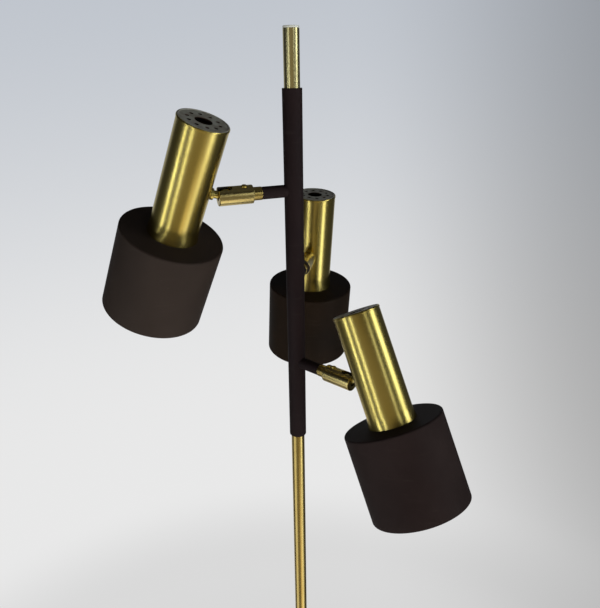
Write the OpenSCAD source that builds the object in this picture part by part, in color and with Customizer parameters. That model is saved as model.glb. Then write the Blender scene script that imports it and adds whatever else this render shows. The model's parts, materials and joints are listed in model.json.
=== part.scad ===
// Tension pole lamp with three swivelling lights.
// Frame: origin on the pole's axis at the floor, +Z up, the rear arm points along +Y.
// The pole stands on a rubber foot. A sprung plunger at its top presses on the ceiling.

/* [Pole] */
// Outer diameter of the brass pole and of the plunger
pole_d = 16; // [14:0.5:17]
// Wall of the brass pole and of the plunger
pole_wall = 1; // [0.8:0.1:1.5]
// Length of the lower pole section
lower_len = 1150; // [800:10:1300]
// Length of the upper pole section
upper_len = 1150; // [800:10:1300]
// Length of the spigot inside the joint of the two sections
joiner_len = 100; // [60:5:160]
// Wall of that spigot
joiner_wall = 1.5; // [1:0.25:3]

/* [Foot] */
// Diameter of the rubber foot on the floor
foot_d = 56; // [40:1:90]
// Diameter of the foot's top rim
foot_top_d = 26; // [22:1:34]
// Height of the rubber foot
foot_h = 36; // [26:1:60]
// Height of the foot's straight base
foot_base_h = 7; // [4:0.5:12]
// Rubber under the pole
foot_floor = 8; // [4:0.5:14]
// Thickness of the steel disc under the pole's edge
plate_t = 2; // [1:0.25:3]
// Height of the cord outlet above the floor
outlet_z = 80; // [60:5:200]
// Diameter of the cord that the outlet lets through
cord_d = 6; // [5:0.25:7]
// Outer diameter of the grommet's flange
grommet_d = 12; // [11:0.5:14]
// Wall of the grommet's neck in the pole
grommet_wall = 1.25; // [0.75:0.25:1.5]
// How far the grommet stands out of the pole
grommet_out = 1.8; // [1:0.2:4]

/* [Sleeve and plunger] */
// Outer diameter of the brown sleeve
sleeve_d = 20; // [19:0.5:24]
// Wall of the sleeve
sleeve_wall = 1; // [0.8:0.1:1.2]
// Length of the sleeve
sleeve_len = 400; // [380:5:500]
// Length of the ring that centres the pole in the sleeve's lower end
lower_bush_len = 12; // [6:1:30]
// How far the pole's top end stands over the upper arm
pole_over_arm = 15; // [12:0.5:16]
// Brass stub that stands out of the sleeve, with its tip
stub_len = 55; // [50:1:90]
// Length of the plunger's guide ring
top_bush_len = 20; // [12:1:24]
// Height of the collar that stops the plunger
collar_h = 8; // [5:0.5:10]
// Thickness of the pale tip on the plunger
tip_t = 2; // [2:0.2:6]
// Length of the tip's plug in the plunger
tip_plug_len = 12; // [6:1:16]
// Flange thickness of the spring seat
seat_t = 4; // [2:0.5:6]
// Height of the seat's peg inside the spring
seat_peg_h = 9; // [4:1:10]
// Wire diameter of the spring
wire_d = 1.4; // [1:0.1:1.6]
// Outer diameter of the spring
spring_d = 12.4; // [11:0.1:12.6]
// Number of turns of the spring
spring_turns = 15; // [10:1:20]

/* [Arms] */
// Depth of the upper, middle and lower arm below the sleeve's top
arm_pitch = 100; // [95:1:110]
// Turn of the rear arm about the pole, from +X
rear_arm_turn = 90; // [70:1:110]
// Outer diameter of an arm
arm_d = 13; // [12:0.25:15]
// Distance of an arm's outer end from the pole's axis
arm_end = 35; // [30:0.5:50]
// Length of the brass ferrule
ferrule_len = 9.2; // [6:0.2:14]
// Outer diameter of the ferrule
ferrule_d = 13.8; // [13:0.2:16]
// Thread diameter of the nipple in the arm
nipple_d = 10; // [9:0.25:10.5]
// Bore of the nipple, for the wires
nipple_bore = 6.6; // [5:0.2:7]
// Thickness of the nipple's head inside the pole
nipple_head_t = 1.4; // [1:0.1:2]
// Length of the nipple inside the barrel
nipple_grip = 13; // [12:0.5:14]

/* [Swivel] */
// Outer diameter of the barrel
barrel_d = 19.2; // [18:0.2:22]
// Wall of the barrel round the ball
barrel_wall = 1.9; // [1.6:0.1:2.4]
// Length of the barrel's solid part behind the ball
barrel_back = 16; // [15:0.5:20]
// Length of the friction pad behind the ball
pad_len = 7.4; // [6:0.2:9]
// Distance from the pad's back to the ball's centre
ball_back = 12; // [11:0.2:14]
// How far the slot's straight part runs behind the ball's centre
slot_back = 2.5; // [0:0.5:3]
// Thickness of the barrel's front lip
lip_t = 1.3; // [1:0.1:2]
// Diameter of the stem's neck
stem_d = 8; // [7:0.2:8.4]
// Bore for the wires through the ball and the stem
stem_bore = 4; // [3:0.2:5]
// Diameter of the screw that locks the barrel
screw_d = 4; // [3:0.25:5]
// Diameter of that screw's head
screw_head_d = 5.6; // [5:0.2:7]
// Height of that screw's head over the barrel
screw_head_h = 1.5; // [1:0.1:2.5]
// Distance of the screw from the barrel's arm end
screw_in = 9; // [7:0.5:10]
// Depth of the groove in the nipple that the screw's point runs in
groove_deep = 0.9; // [0.5:0.1:1.2]

/* [Head pose in the photo] */
// Turn of the rear head about its arm
rear_turn = 4; // [-10:1:10]
// Tilt of the rear head's stem in its slot
rear_tilt = 5; // [0:1:30]
// Turn of the left head about its arm
left_turn = -18; // [-30:1:10]
// Tilt of the left head's stem in its slot
left_tilt = 16; // [0:1:30]
// Turn of the right head about its arm
right_turn = -4; // [-10:1:10]
// Tilt of the right head's stem in its slot
right_tilt = 27; // [0:1:35]

/* [Lamp housing] */
// Outer diameter of the brass housing
housing_d = 50; // [50:0.5:54]
// Wall of the housing
housing_wall = 1; // [0.8:0.1:1.2]
// Height of the housing above the shade
housing_h = 122; // [115:1:140]
// Radius of the housing's rounded shoulder
shoulder_r = 3; // [2:0.25:5]
// Height of the stem above the shade's top
stem_z = 51; // [50:0.5:56]
// Diameter of the large hole in the vented top
vent_d = 17; // [14:0.5:20]
// Diameter of a small hole in the vented top
small_vent_d = 3.6; // [2.5:0.1:4]
// Diameter of the circle of small holes
vent_ring_d = 31; // [29:0.5:34]
// Number of small holes
vent_count = 10; // [6:1:14]

/* [Shade] */
// Outer diameter of the shade
shade_d = 107; // [100:1:130]
// Height of the shade
shade_h = 95; // [93:1:120]
// Wall of the shade
shade_wall = 1; // [0.8:0.1:1.6]
// Radius of the shade's rounded top edge
shade_edge_r = 2; // [1.5:0.25:4]

/* [Lampholder and bulb] */
// Length of the stem from the ball's centre to the housing's wall
stem_reach = 17; // [16:0.5:22]
// Outer diameter of the stem's collar
stem_collar_d = 12; // [10:0.5:13]
// Thickness of the stem's collar
stem_collar_t = 3; // [2:0.25:4]
// Width over the flats of the stem's nut
nut_af = 12; // [11:0.5:13]
// Thickness of the stem's nut
nut_t = 5; // [3:0.5:6]
// Width of the bracket
bracket_w = 12; // [12:0.5:14]
// Thickness of the bracket
bracket_t = 2; // [1.5:0.25:2.5]
// Length of the nipple that holds the lampholder, below its head
holder_nipple_len = 13; // [10:0.5:14]
// Diameter of the lampholder's threaded skirt
skirt_d = 39; // [38:0.25:39.5]
// Length of that skirt below the shade's top
skirt_len = 13; // [12:0.5:16]
// Diameter of the lampholder's flange
flange_d = 45; // [43:0.5:46]
// Thickness of the lampholder's flange
flange_t = 3; // [2:0.5:4]
// Outer diameter of the shade ring
ring_d = 47; // [45:0.5:52]
// Height of the shade ring
ring_h = 8; // [5:0.5:9]
// Diameter of the bulb's screw cap
cap_d = 26.4; // [26:0.1:27]
// Length of the bulb's screw cap
cap_len = 25; // [23:0.5:26]
// Diameter of the bulb's globe
bulb_d = 60; // [45:1:60]
// Length of the bulb's glass below the lampholder
glass_len = 79; // [74:0.5:79]
// Wall of the bulb's glass
glass_t = 1; // [0.8:0.1:1.5]

/* [Clearances] */
// Radial clearance of pieces that are pressed or screwed together
fit_clear = 0.05; // [0.03:0.01:0.08]
// Radial clearance of pieces that turn or slide in each other
run_clear = 0.08; // [0.05:0.01:0.1]
// Gap between faces that turn or tilt past each other
face_clear = 0.3; // [0.2:0.05:0.4]

/* [Hidden] */
$fn = 64;
// extra length that lets a cutter pass a face
cut = 1;
// colours as the photo shows them
brass = [0.72, 0.62, 0.32];
brown = [0.17, 0.13, 0.12];
steel = [0.62, 0.63, 0.65];
rubber = [0.08, 0.08, 0.08];
pale = [0.82, 0.82, 0.80];
ceramic = [0.88, 0.87, 0.84];
opal = [0.95, 0.94, 0.90];
// heights along the pole
plate_z = foot_floor;
pole_z = plate_z + plate_t;
joint_z = pole_z + lower_len;
pole_top = joint_z + upper_len;
sleeve_top = pole_top - pole_over_arm + arm_pitch;
sleeve_z = sleeve_top - sleeve_len;
tip_top = sleeve_top + stub_len;
tip_z = tip_top - tip_t;
bush_z = sleeve_top - top_bush_len;
// how far the plunger passes its collar
collar_inset = 1;
collar_top = bush_z - face_clear;
plunger_z = collar_top - collar_h - collar_inset;
seat_top = pole_top + seat_t;
// radii of the pole, the sleeve and what they hold
pole_r = pole_d / 2;
pole_ri = pole_r - pole_wall;
sleeve_r = sleeve_d / 2;
sleeve_ri = sleeve_r - sleeve_wall;
foot_hole_r = pole_r + fit_clear;
// the outlet and its grommet
outlet_r = cord_d / 2;
neck_r = outlet_r + grommet_wall;
// how far the grommet's neck reaches into the pole
neck_in = 1;
// step between the foot's straight base and its cone
foot_step = 2;
// the spring between its seat and the plunger's plug
spring_z0 = seat_top + fit_clear;
spring_z1 = tip_z - tip_plug_len - fit_clear;
spring_mean_r = (spring_d - wire_d) / 2;
spring_rise = spring_z1 - spring_z0 - wire_d;
spring_sides = 6;
spring_rings = 10;
spring_gap = spring_rise / spring_turns - wire_d;
peg_r = spring_mean_r - wire_d / 2 - face_clear;
// along an arm, from the pole's axis
nipple_r = nipple_d / 2;
// rim of the nipple's head round its thread
nipple_rim = 1;
nipple_head_r = nipple_r + nipple_rim;
// room between the spring seat's plug and the upper nipple
plug_room = 1;
seat_plug_len = pole_over_arm - nipple_head_r - plug_room;
nipple_head_x = sqrt(pow(pole_ri, 2) - pow(nipple_head_r, 2)) - fit_clear;
ferrule_end = arm_end + ferrule_len;
barrel_x = ferrule_end + face_clear;
nipple_end = barrel_x + nipple_grip;
cavity_x = barrel_x + barrel_back;
pivot_x = cavity_x + ball_back;
screw_x = barrel_x + screw_in;
// the swivel, from the ball's centre
barrel_r = barrel_d / 2;
cavity_r = barrel_r - barrel_wall;
ball_r = cavity_r - face_clear;
stem_r = stem_d / 2;
slot_r = stem_r + face_clear;
// spare room of the ball behind the lip
lip_room = 0.1;
lip_x = sqrt(pow(ball_r, 2) - pow(slot_r, 2)) + face_clear + lip_room;
barrel_front = lip_x + lip_t;
groove_r = nipple_r - groove_deep;
// step between the screw's thread and its point
point_step = 0.4;
point_r = screw_d / 2 - point_step;
// depth of the flat seat cut for the screw's head
screw_seat_deep = 0.1;
screw_seat_z = sqrt(pow(barrel_r, 2) - pow(screw_head_d / 2, 2)) - screw_seat_deep;
screw_slot_w = 0.8;
screw_slot_deep = 0.7;
// the head, from the ball's centre along the stem, and up from the stem
housing_r = housing_d / 2;
housing_ri = housing_r - housing_wall;
head_x = stem_reach + housing_r;
shade_top = -stem_z;
housing_top = shade_top + housing_h;
collar_x = stem_reach - stem_collar_t - face_clear;
bracket_x = head_x - sqrt(pow(housing_ri, 2) - pow(bracket_w / 2, 2)) + fit_clear;
nut_x = bracket_x + bracket_t + fit_clear;
nut_r = nut_af / 2 / cos(30);
// thread that stands out of the nut
thread_over = 1.5;
stem_end = nut_x + nut_t + thread_over;
// metal round a nut, and room for a spanner below it
nut_margin = 1;
spanner_room = 2;
bracket_top = nut_r + nut_margin;
leg_top = -nut_r - spanner_room;
leg_z = leg_top - bracket_t;
holder_nipple_r = 5;
holder_nipple_bore = 3.5;
nipple_nut_r = 7.5;
nipple_nut_t = 3;
leg_end = head_x + nipple_nut_r + nut_margin;
holder_top = leg_z - fit_clear;
// room under the nipple's end in the lampholder
bore_room = 1;
holder_bore_z = holder_top - holder_nipple_len - bore_room;
skirt_r = skirt_d / 2;
holder_z = shade_top - skirt_len;
// height and width of the lampholder's conical shoulder
holder_cone_h = 6;
holder_cone_w = 5;
holder_neck_r = skirt_r - holder_cone_w;
mouth_r = cap_d / 2 + face_clear;
cap_top = holder_z + cap_len - face_clear;
mouth_top = cap_top + face_clear;
shade_r = shade_d / 2;
shade_hole_r = skirt_r + face_clear;
ring_z = shade_top - shade_wall - fit_clear - ring_h;
bulb_r = bulb_d / 2;
glass_top = holder_z - face_clear;
globe_z = glass_top - glass_len + bulb_r;
neck_glass_r = cap_d / 2 + glass_t;
// where the neck's cone leaves the globe
cone_lift = 0.6 * bulb_r;
cone_r = 0.8 * bulb_r;
// exhaust hole in the cap's end contact
contact_hole_r = 1.5;

echo(str("least gap between the spring's turns, mm: ", spring_gap));

// a round ring or tube that stands on z
module tube(ro, ri, h) {
    difference() {
        cylinder(r = ro, h = h);
        translate([0, 0, -cut]) cylinder(r = ri, h = h + 2 * cut);
    }
}

// turns a child that stands on +Z so that it lies along +X
module along_x(x = 0) {
    translate([x, 0, 0]) rotate([0, 90, 0]) children();
}

// the frame of an arm: +X along the arm, +Z up
module at_arm(level, turn) {
    translate([0, 0, sleeve_top - level * arm_pitch]) rotate([0, 0, turn]) children();
}

module rear_place() { at_arm(2, rear_arm_turn) children(); }
module left_place() { at_arm(1, rear_arm_turn + 120) children(); }
module right_place() { at_arm(3, rear_arm_turn + 240) children(); }

// every arm's frame in turn
module each_arm() {
    rear_place() children();
    left_place() children();
    right_place() children();
}

// the frame of a ball: the stem along +X, the lamp's axis along +Z
module at_ball(turn, tilt) {
    rotate([turn, 0, 0]) translate([pivot_x, 0, 0]) rotate([0, -tilt, 0]) children();
}

module rear_head_place() { rear_place() at_ball(rear_turn, rear_tilt) children(); }
module left_head_place() { left_place() at_ball(left_turn, left_tilt) children(); }
module right_head_place() { right_place() at_ball(right_turn, right_tilt) children(); }

// ---- pole ----

module floor_foot() {
    color(rubber) difference() {
        union() {
            cylinder(d = foot_d, h = foot_base_h);
            translate([0, 0, foot_base_h])
                cylinder(d1 = foot_d - foot_step, d2 = foot_top_d, h = foot_h - foot_base_h);
        }
        translate([0, 0, foot_floor]) cylinder(r = foot_hole_r, h = foot_h);
    }
}

module foot_plate() {
    color(steel) translate([0, 0, plate_z]) cylinder(r = pole_r, h = plate_t);
}

module lower_pole() {
    color(brass) difference() {
        translate([0, 0, pole_z]) tube(pole_r, pole_ri, lower_len);
        translate([0, 0, outlet_z]) rotate([90, 0, 0])
            cylinder(r = neck_r + fit_clear, h = pole_d);
    }
}

module cord_grommet() {
    color(rubber) translate([0, 0, outlet_z]) rotate([90, 0, 0]) difference() {
        union() {
            cylinder(r = neck_r, h = pole_r + grommet_out);
            difference() {
                cylinder(d = grommet_d, h = pole_r + grommet_out);
                rotate([90, 0, 0]) translate([0, 0, -grommet_d])
                    cylinder(r = pole_r + fit_clear, h = 2 * grommet_d);
            }
        }
        translate([0, 0, -cut]) cylinder(r = outlet_r, h = pole_d + grommet_out);
        translate([0, 0, -cut]) cylinder(r = neck_r + cut, h = pole_ri - neck_in + cut);
    }
}

module pole_joiner() {
    color(steel) translate([0, 0, joint_z - joiner_len / 2])
        tube(pole_ri - fit_clear, pole_ri - joiner_wall, joiner_len);
}

// hole through a wall for the nipple of every arm
module nipple_holes() {
    each_arm() along_x() cylinder(r = nipple_r + fit_clear, h = sleeve_d);
}

module upper_pole() {
    color(brass) difference() {
        translate([0, 0, joint_z]) tube(pole_r, pole_ri, upper_len);
        nipple_holes();
    }
}

module sleeve() {
    color(brown) difference() {
        translate([0, 0, sleeve_z]) tube(sleeve_r, sleeve_ri, sleeve_len);
        nipple_holes();
    }
}

module lower_bush() {
    color(brown) translate([0, 0, sleeve_z])
        tube(sleeve_ri - fit_clear, pole_r + fit_clear, lower_bush_len);
}

module top_bush() {
    color(brass) translate([0, 0, bush_z])
        tube(sleeve_ri - fit_clear, pole_r + run_clear, top_bush_len);
}

module spring_seat() {
    color(steel) {
        translate([0, 0, pole_top]) cylinder(r = sleeve_ri - fit_clear, h = seat_t);
        translate([0, 0, pole_top - seat_plug_len])
            cylinder(r = pole_ri - fit_clear, h = seat_plug_len + cut);
        translate([0, 0, seat_top - cut]) cylinder(r = peg_r, h = seat_peg_h + cut);
    }
}

// one ring of points of the spring's wire at turn t
function wire_ring(t) = [
    for (k = [0 : spring_sides - 1])
        let (
            a = 360 * t,
            b = 360 * k / spring_sides,
            r = spring_mean_r + wire_d / 2 * cos(b),
            z = spring_z0 + wire_d / 2 + spring_rise * t / spring_turns
        )
        [r * cos(a), r * sin(a), z + wire_d / 2 * sin(b)]
];

module plunger_spring() {
    last = spring_turns * spring_rings;
    pts = [for (i = [0 : last]) each wire_ring(i / spring_rings)];
    sides = [
        for (i = [0 : last - 1], k = [0 : spring_sides - 1])
            let (
                a = i * spring_sides + k,
                b = i * spring_sides + (k + 1) % spring_sides
            )
            each [
                [a, a + spring_sides, b + spring_sides],
                [a, b + spring_sides, b]
            ]
    ];
    end = last * spring_sides;
    caps = [
        for (k = [1 : spring_sides - 2])
            each [[0, k, k + 1], [end, end + k + 1, end + k]]
    ];
    color(steel) polyhedron(points = pts, faces = concat(sides, caps));
}

// ---- arms, in the arm's frame ----

module arm() {
    color(brown) difference() {
        along_x() tube(arm_d / 2, nipple_r + fit_clear, arm_end - fit_clear);
        translate([0, 0, -arm_d]) cylinder(r = sleeve_r + fit_clear, h = 2 * arm_d);
    }
}

module arm_nipple() {
    color(brass) difference() {
        union() {
            along_x(nipple_head_x - nipple_head_t) cylinder(r = nipple_head_r, h = nipple_head_t);
            along_x(nipple_head_x - cut) cylinder(r = nipple_r, h = nipple_end - nipple_head_x + cut);
        }
        along_x() cylinder(d = nipple_bore, h = nipple_end + cut);
        along_x(screw_x - point_r - face_clear)
            tube(nipple_r + cut, groove_r, 2 * (point_r + face_clear));
    }
}

module ferrule() {
    color(brass) along_x(arm_end) tube(ferrule_d / 2, nipple_r + fit_clear, ferrule_len);
}

module rear_arm() { rear_place() arm(); }
module rear_arm_nipple() { rear_place() arm_nipple(); }
module rear_ferrule() { rear_place() ferrule(); }
module left_arm() { left_place() arm(); }
module left_arm_nipple() { left_place() arm_nipple(); }
module left_ferrule() { left_place() ferrule(); }
module right_arm() { right_place() arm(); }
module right_arm_nipple() { right_place() arm_nipple(); }
module right_ferrule() { right_place() ferrule(); }

// ---- plunger ----

module plunger_tube() {
    color(brass) translate([0, 0, plunger_z]) tube(pole_r, pole_ri, tip_z - plunger_z);
}

module ceiling_tip() {
    color(pale) {
        translate([0, 0, tip_z]) cylinder(r = pole_r, h = tip_t);
        translate([0, 0, tip_z - tip_plug_len])
            cylinder(r = pole_ri - fit_clear, h = tip_plug_len + cut);
    }
}

module stop_collar() {
    color(steel) translate([0, 0, collar_top - collar_h])
        tube(sleeve_ri - run_clear, pole_r + fit_clear, collar_h);
}

// ---- swivel, in the arm's frame, turned with its head ----

module barrel() {
    color(brass) difference() {
        along_x(barrel_x) cylinder(r = barrel_r, h = pivot_x + barrel_front - barrel_x);
        along_x(barrel_x - cut) cylinder(r = nipple_r + run_clear, h = barrel_back + 2 * cut);
        along_x(cavity_x) cylinder(r = cavity_r, h = ball_back + lip_x);
        along_x(pivot_x) cylinder(r = slot_r, h = barrel_r);
        translate([pivot_x - slot_back, -slot_r, 0])
            cube([slot_back + barrel_r, 2 * slot_r, barrel_r]);
        translate([pivot_x - slot_back, 0, 0]) cylinder(r = slot_r, h = barrel_r);
        translate([screw_x, 0, 0]) cylinder(d = screw_d + 2 * fit_clear, h = barrel_r);
        translate([screw_x, 0, screw_seat_z])
            cylinder(d = screw_head_d + 2 * fit_clear, h = barrel_r);
    }
}

module ball_pad() {
    color(rubber) difference() {
        along_x(cavity_x + fit_clear) cylinder(r = cavity_r - fit_clear, h = pad_len);
        translate([pivot_x, 0, 0]) sphere(r = ball_r + run_clear);
        along_x(cavity_x - cut) cylinder(d = stem_bore, h = ball_back);
    }
}

module lock_screw() {
    head_z = screw_seat_z + fit_clear;
    head_top = barrel_r + screw_head_h;
    color(brass) translate([screw_x, 0, 0]) difference() {
        union() {
            translate([0, 0, groove_r + face_clear]) cylinder(r = point_r, h = head_z - groove_r);
            translate([0, 0, nipple_r + face_clear]) cylinder(d = screw_d, h = head_z - nipple_r);
            intersection() {
                translate([0, 0, head_z]) cylinder(d = screw_head_d, h = head_top - head_z);
                translate([0, 0, head_top - screw_head_d]) sphere(r = screw_head_d);
            }
        }
        translate([-screw_head_d, -screw_slot_w / 2, head_top - screw_slot_deep])
            cube([2 * screw_head_d, screw_slot_w, screw_slot_deep + cut]);
    }
}

module rear_barrel() { rear_place() rotate([rear_turn, 0, 0]) barrel(); }
module rear_ball_pad() { rear_place() rotate([rear_turn, 0, 0]) ball_pad(); }
module rear_lock_screw() { rear_place() rotate([rear_turn, 0, 0]) lock_screw(); }
module left_barrel() { left_place() rotate([left_turn, 0, 0]) barrel(); }
module left_ball_pad() { left_place() rotate([left_turn, 0, 0]) ball_pad(); }
module left_lock_screw() { left_place() rotate([left_turn, 0, 0]) lock_screw(); }
module right_barrel() { right_place() rotate([right_turn, 0, 0]) barrel(); }
module right_ball_pad() { right_place() rotate([right_turn, 0, 0]) ball_pad(); }
module right_lock_screw() { right_place() rotate([right_turn, 0, 0]) lock_screw(); }

// ---- head, in the ball's frame ----

module stem() {
    color(brass) difference() {
        union() {
            sphere(r = ball_r);
            along_x() cylinder(r = stem_r, h = stem_end);
            along_x(collar_x) cylinder(d = stem_collar_d, h = stem_collar_t);
        }
        along_x(-ball_r - cut) cylinder(d = stem_bore, h = ball_r + stem_end + 2 * cut);
    }
}

module stem_nut() {
    color(steel) difference() {
        along_x(nut_x) cylinder(r = nut_r, h = nut_t, $fn = 6);
        along_x() cylinder(r = stem_r + fit_clear, h = stem_end + cut);
    }
}

module bracket() {
    color(steel) difference() {
        union() {
            translate([bracket_x, -bracket_w / 2, leg_z])
                cube([bracket_t, bracket_w, bracket_top - leg_z]);
            translate([bracket_x, -bracket_w / 2, leg_z])
                cube([head_x - bracket_x, bracket_w, bracket_t]);
            translate([head_x, 0, leg_z]) cylinder(r = leg_end - head_x, h = bracket_t);
        }
        along_x() cylinder(r = stem_r + fit_clear, h = stem_end + cut);
        translate([head_x, 0, leg_z - cut])
            cylinder(r = holder_nipple_r + fit_clear, h = bracket_t + 2 * cut);
    }
}

module holder_nipple() {
    color(steel) difference() {
        union() {
            translate([head_x, 0, leg_top + fit_clear])
                cylinder(r = nipple_nut_r, h = nipple_nut_t, $fn = 6);
            translate([head_x, 0, holder_top - holder_nipple_len])
                cylinder(r = holder_nipple_r, h = leg_top - holder_top + holder_nipple_len + cut);
        }
        translate([head_x, 0, holder_top - holder_nipple_len - cut])
            cylinder(r = holder_nipple_bore,
                     h = holder_nipple_len + bracket_t + nipple_nut_t + 3 * cut);
    }
}

module lampholder() {
    color(ceramic) translate([head_x, 0, 0]) difference() {
        union() {
            translate([0, 0, holder_z])
                cylinder(r = skirt_r, h = holder_top - holder_cone_h - holder_z);
            translate([0, 0, holder_top - holder_cone_h])
                cylinder(r1 = skirt_r, r2 = holder_neck_r, h = holder_cone_h);
            translate([0, 0, shade_top + fit_clear]) cylinder(d = flange_d, h = flange_t);
        }
        translate([0, 0, holder_bore_z])
            cylinder(r = holder_nipple_r + fit_clear, h = holder_top - holder_bore_z + cut);
        translate([0, 0, holder_z - cut]) cylinder(r = mouth_r, h = mouth_top - holder_z + cut);
    }
}

// profile of a spun can: outer radius, wall, height below its flat top, and edge radius
module can_profile(r, t, h, edge) {
    steps = 6;
    outer = [
        for (i = [0 : steps])
            let (a = 90 * i / steps)
            [r - edge + edge * cos(a), -edge + edge * sin(a)]
    ];
    inner = [
        for (i = [steps : -1 : 0])
            let (a = 90 * i / steps)
            [r - edge + (edge - t) * cos(a), -edge + (edge - t) * sin(a)]
    ];
    polygon(concat([[r, -h]], outer, [[0, 0], [0, -t]], inner, [[r - t, -h]]));
}

module housing() {
    color(brass) difference() {
        translate([head_x, 0, housing_top]) rotate_extrude()
            can_profile(housing_r, housing_wall, housing_h - fit_clear, shoulder_r);
        along_x() cylinder(r = stem_r + fit_clear, h = stem_reach + 2 * housing_wall + cut);
        translate([head_x, 0, housing_top - housing_wall - cut]) {
            cylinder(d = vent_d, h = housing_wall + 2 * cut);
            for (i = [0 : vent_count - 1])
                rotate([0, 0, 360 * (i + 0.5) / vent_count]) translate([vent_ring_d / 2, 0, 0])
                    cylinder(d = small_vent_d, h = housing_wall + 2 * cut);
        }
    }
}

module shade() {
    color(brown) translate([head_x, 0, shade_top]) difference() {
        rotate_extrude() can_profile(shade_r, shade_wall, shade_h, shade_edge_r);
        translate([0, 0, -shade_wall - cut])
            cylinder(r = shade_hole_r, h = shade_wall + 2 * cut);
    }
}

module shade_ring() {
    color(ceramic) translate([head_x, 0, ring_z])
        tube(ring_d / 2, skirt_r + fit_clear, ring_h);
}

module bulb() {
    color(opal) translate([head_x, 0, 0]) difference() {
        union() {
            translate([0, 0, globe_z]) sphere(r = bulb_r);
            translate([0, 0, globe_z + cone_lift])
                cylinder(r1 = cone_r, r2 = neck_glass_r, h = glass_top - globe_z - cone_lift);
            translate([0, 0, glass_top - cut]) cylinder(d = cap_d, h = cap_top - glass_top + cut);
        }
        translate([0, 0, globe_z]) sphere(r = bulb_r - glass_t);
        translate([0, 0, globe_z + cone_lift])
            cylinder(r1 = cone_r - glass_t, r2 = neck_glass_r - 2 * glass_t,
                     h = glass_top - globe_z - cone_lift);
        translate([0, 0, glass_top - cut])
            cylinder(r = neck_glass_r - 2 * glass_t, h = cap_top - glass_top + cut - glass_t);
        cylinder(r = contact_hole_r, h = cap_d);
    }
}

module rear_stem() { rear_head_place() stem(); }
module rear_stem_nut() { rear_head_place() stem_nut(); }
module rear_bracket() { rear_head_place() bracket(); }
module rear_holder_nipple() { rear_head_place() holder_nipple(); }
module rear_lampholder() { rear_head_place() lampholder(); }
module rear_housing() { rear_head_place() housing(); }
module rear_shade() { rear_head_place() shade(); }
module rear_shade_ring() { rear_head_place() shade_ring(); }
module rear_bulb() { rear_head_place() bulb(); }
module left_stem() { left_head_place() stem(); }
module left_stem_nut() { left_head_place() stem_nut(); }
module left_bracket() { left_head_place() bracket(); }
module left_holder_nipple() { left_head_place() holder_nipple(); }
module left_lampholder() { left_head_place() lampholder(); }
module left_housing() { left_head_place() housing(); }
module left_shade() { left_head_place() shade(); }
module left_shade_ring() { left_head_place() shade_ring(); }
module left_bulb() { left_head_place() bulb(); }
module right_stem() { right_head_place() stem(); }
module right_stem_nut() { right_head_place() stem_nut(); }
module right_bracket() { right_head_place() bracket(); }
module right_holder_nipple() { right_head_place() holder_nipple(); }
module right_lampholder() { right_head_place() lampholder(); }
module right_housing() { right_head_place() housing(); }
module right_shade() { right_head_place() shade(); }
module right_shade_ring() { right_head_place() shade_ring(); }
module right_bulb() { right_head_place() bulb(); }

floor_foot();
foot_plate();
lower_pole();
cord_grommet();
pole_joiner();
upper_pole();
sleeve();
lower_bush();
top_bush();
spring_seat();
plunger_spring();
rear_arm();
rear_arm_nipple();
rear_ferrule();
left_arm();
left_arm_nipple();
left_ferrule();
right_arm();
right_arm_nipple();
right_ferrule();
plunger_tube();
ceiling_tip();
stop_collar();
rear_barrel();
rear_ball_pad();
rear_lock_screw();
left_barrel();
left_ball_pad();
left_lock_screw();
right_barrel();
right_ball_pad();
right_lock_screw();
rear_stem();
rear_stem_nut();
rear_bracket();
rear_holder_nipple();
rear_lampholder();
rear_housing();
rear_shade();
rear_shade_ring();
rear_bulb();
left_stem();
left_stem_nut();
left_bracket();
left_holder_nipple();
left_lampholder();
left_housing();
left_shade();
left_shade_ring();
left_bulb();
right_stem();
right_stem_nut();
right_bracket();
right_holder_nipple();
right_lampholder();
right_housing();
right_shade();
right_shade_ring();
right_bulb();
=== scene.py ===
import json
import math

import bmesh
import bpy
from mathutils import Matrix, Vector


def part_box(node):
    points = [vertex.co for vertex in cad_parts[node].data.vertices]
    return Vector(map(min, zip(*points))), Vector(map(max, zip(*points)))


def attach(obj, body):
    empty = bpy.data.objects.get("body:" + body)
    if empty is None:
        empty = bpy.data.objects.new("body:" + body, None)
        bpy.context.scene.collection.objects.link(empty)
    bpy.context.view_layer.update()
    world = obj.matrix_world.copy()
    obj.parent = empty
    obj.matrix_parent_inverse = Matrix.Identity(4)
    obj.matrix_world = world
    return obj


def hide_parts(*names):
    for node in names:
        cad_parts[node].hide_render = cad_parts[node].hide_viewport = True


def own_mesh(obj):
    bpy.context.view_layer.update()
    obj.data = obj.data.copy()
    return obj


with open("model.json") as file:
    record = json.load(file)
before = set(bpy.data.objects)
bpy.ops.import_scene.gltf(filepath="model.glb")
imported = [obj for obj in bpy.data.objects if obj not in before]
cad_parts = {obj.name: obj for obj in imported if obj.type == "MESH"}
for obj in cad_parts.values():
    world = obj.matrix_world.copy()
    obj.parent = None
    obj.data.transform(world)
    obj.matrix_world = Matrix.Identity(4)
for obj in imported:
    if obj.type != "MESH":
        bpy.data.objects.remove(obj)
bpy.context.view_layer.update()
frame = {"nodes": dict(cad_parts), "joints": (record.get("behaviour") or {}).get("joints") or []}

# ---- Camera ----
# It stands in front of the pole's upper end, a little over the sleeve's top edge, and looks
# down at the three lights. Its places are measured from the sleeve's top.
CAMERA_AWAY = 0.5996
CAMERA_UP = 0.0203
CAMERA_SIDE = math.radians(11.093)
CAMERA_PAN = math.radians(0.049)
CAMERA_DOWN = math.radians(22.332)
CAMERA_ROLL = math.radians(1.019)
IMAGE_W = 600
IMAGE_H = 608
FOCAL_PX = 577.1
CENTRE_X_PX = 295.3
CENTRE_Y_PX = 302.4
SENSOR = 36
NEAREST_SEEN = 0.02

sleeve_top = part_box("sleeve")[1].z


def turn(angle, axis):
    return Matrix.Rotation(angle, 4, axis)


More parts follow.
